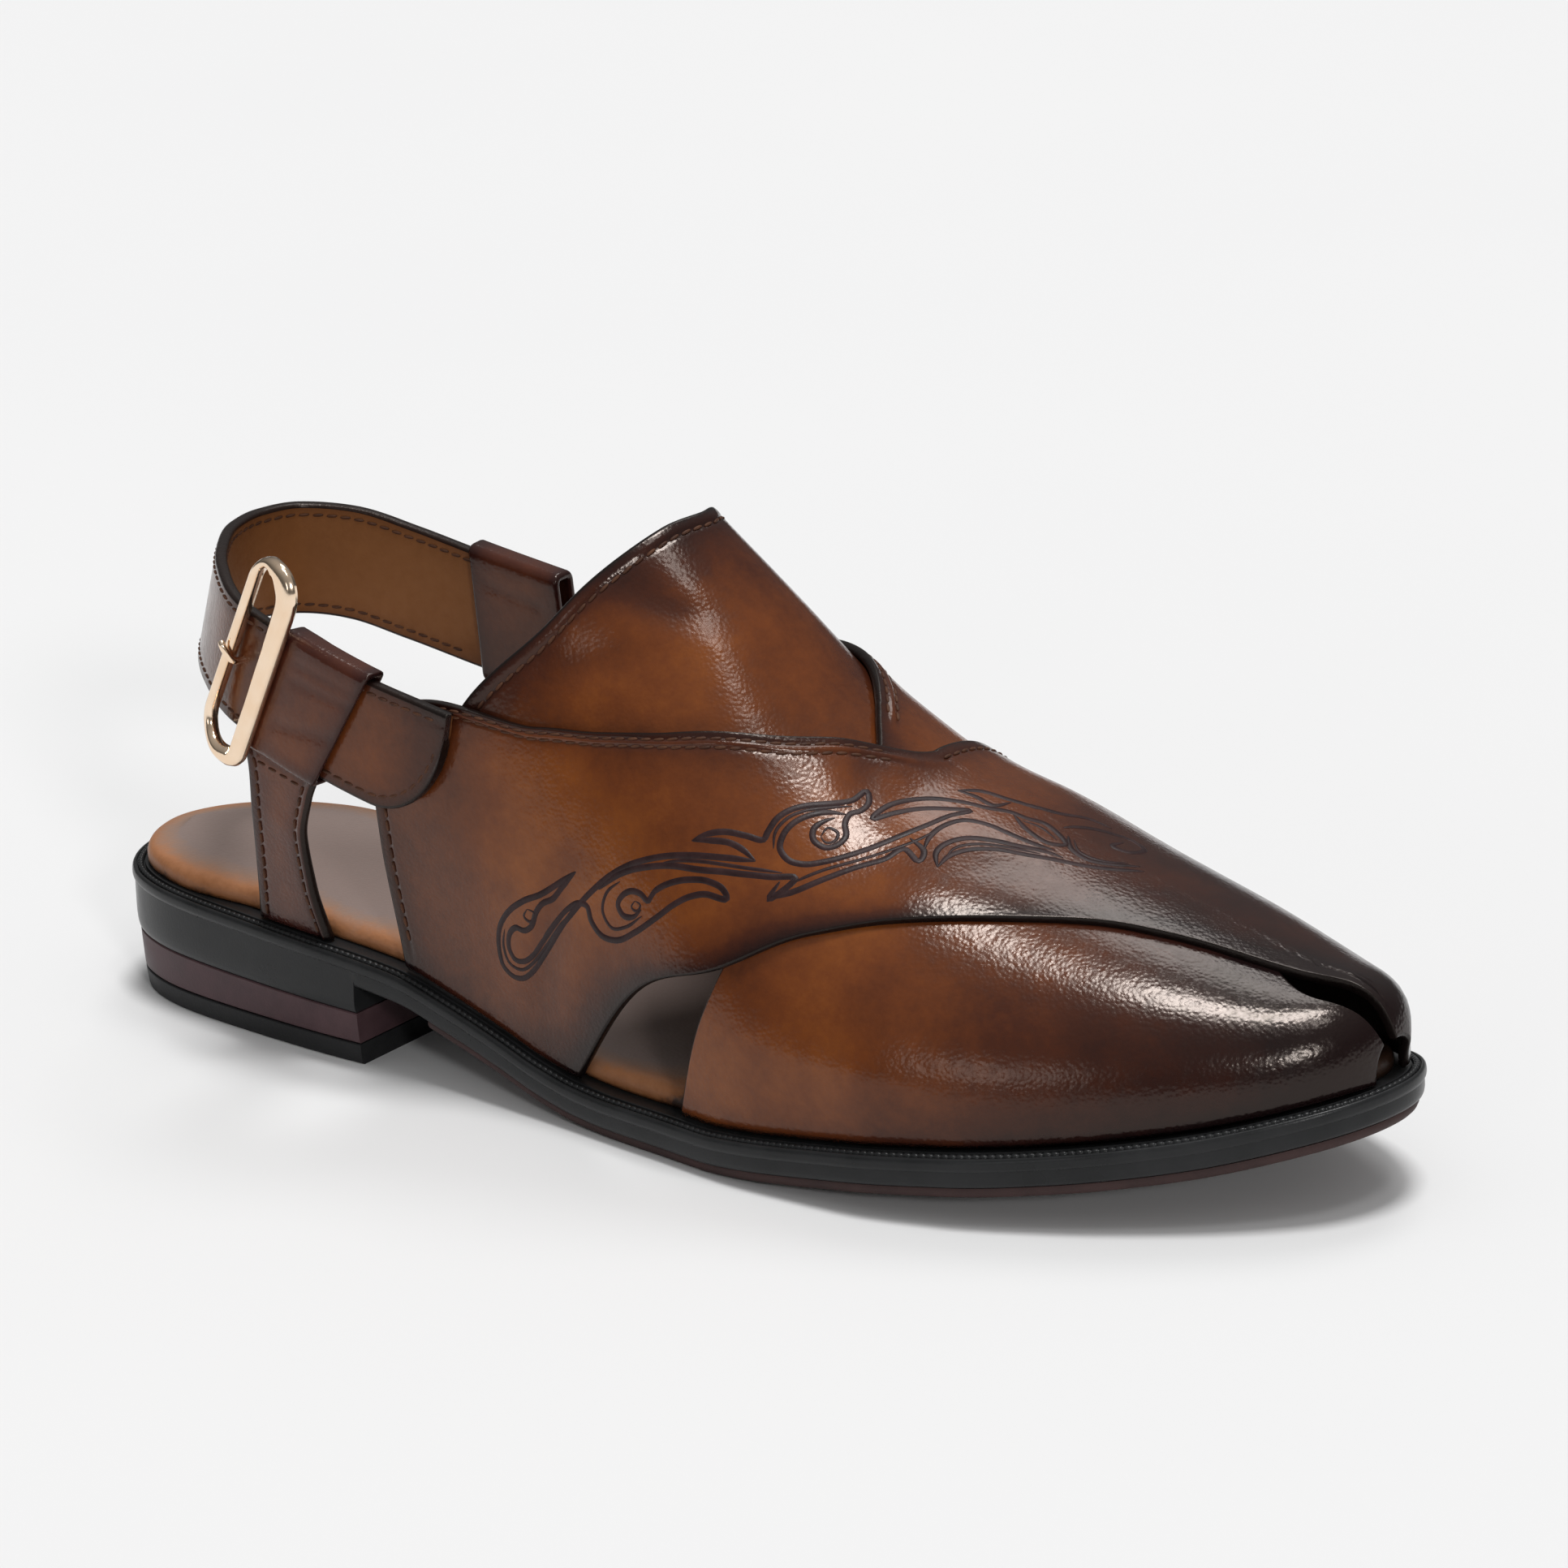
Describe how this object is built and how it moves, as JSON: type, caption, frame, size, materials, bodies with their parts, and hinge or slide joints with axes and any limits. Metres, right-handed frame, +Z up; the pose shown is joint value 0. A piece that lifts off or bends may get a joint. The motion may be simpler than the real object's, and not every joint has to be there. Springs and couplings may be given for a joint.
{
  "type": "peshawari chappal",
  "caption": "Leather sandal with crossed vamp panels, pointed tongue, buckled heel strap on two stays, padded footbed and welted sole on a low heel.",
  "frame": {"origin": "middle of the heel's flat face on the floor, half of the heel's length ahead of its back", "axes": "+X from the heel to the toe, +Y to the big-toe side, +Z up"},
  "size_m": [0.3, 0.1003, 0.1151],
  "materials": {
    "sole_rubber": "satin black, moulded bead along the welt",
    "outsole_rubber": "matt dark maroon-brown",
    "heel_stack": "matt burgundy-brown band",
    "heel_rubber": "matt black",
    "footbed_leather": "smooth pinkish tan, burnished edge",
    "vamp_leather": "glossy burnished tan-brown, darker at the edges",
    "tongue_leather": "glossy burnished tan-brown, darker at the edges",
    "stay_leather_lateral": "glossy dark brown",
    "stay_leather_medial": "glossy dark brown",
    "strap_leather": "glossy dark brown outside, tan-brown lining",
    "buckle_metal": "polished pale rose gold",
    "prong_metal": "polished pale rose gold"
  },
  "bodies": {
    "root": {"sole_unit": "sole_rubber", "outsole": "outsole_rubber", "heel_lift": "heel_stack", "heel_top_piece": "heel_rubber", "footbed": "footbed_leather", "upper": "vamp_leather", "tongue": "tongue_leather", "stay_lateral": "stay_leather_lateral", "stay_medial": "stay_leather_medial", "heel_strap": "strap_leather", "buckle_frame": "buckle_metal", "buckle_pin": "prong_metal"}
  },
  "joints": []
}
